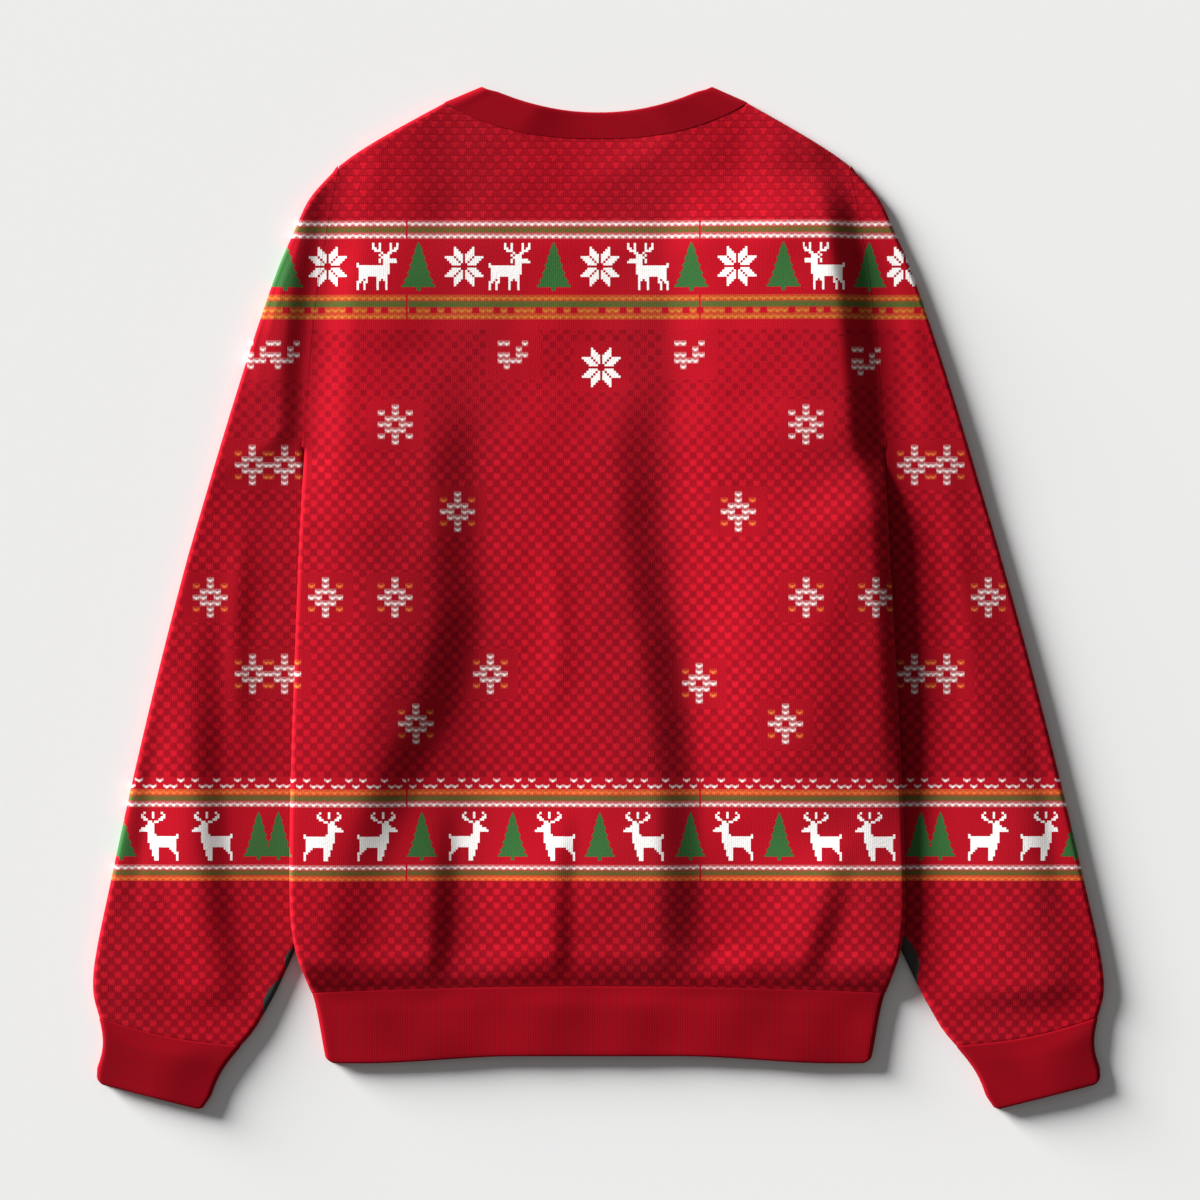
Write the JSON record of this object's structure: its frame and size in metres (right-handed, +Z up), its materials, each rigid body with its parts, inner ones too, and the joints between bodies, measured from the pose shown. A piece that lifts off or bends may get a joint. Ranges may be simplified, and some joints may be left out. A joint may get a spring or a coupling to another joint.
{
  "type": "christmas sweatshirt",
  "caption": "Long-sleeved crew-neck sweatshirt with a knit-look winter print, laid flat with its back up and its sleeves beside the body.",
  "frame": {"origin": "on the surface it lies on, under the middle of the garment's bounding box", "axes": "+Z up from the surface, out of the garment's back; +Y from hem to neck; +X to the right as seen from above, towards the wearer's right sleeve"},
  "size_m": [0.7675, 0.7798, 0.0236],
  "materials": {
    "printed_fleece": "brushed fleece jersey, printed all over, matt",
    "rib_knit": "plain dyed rib knit, matt"
  },
  "bodies": {
    "root": {"back": "printed_fleece", "front": "printed_fleece", "sleeve_left": "printed_fleece", "sleeve_right": "printed_fleece", "collar": "rib_knit", "cuff_left": "rib_knit", "cuff_right": "rib_knit", "hem_band": "rib_knit"}
  },
  "joints": []
}
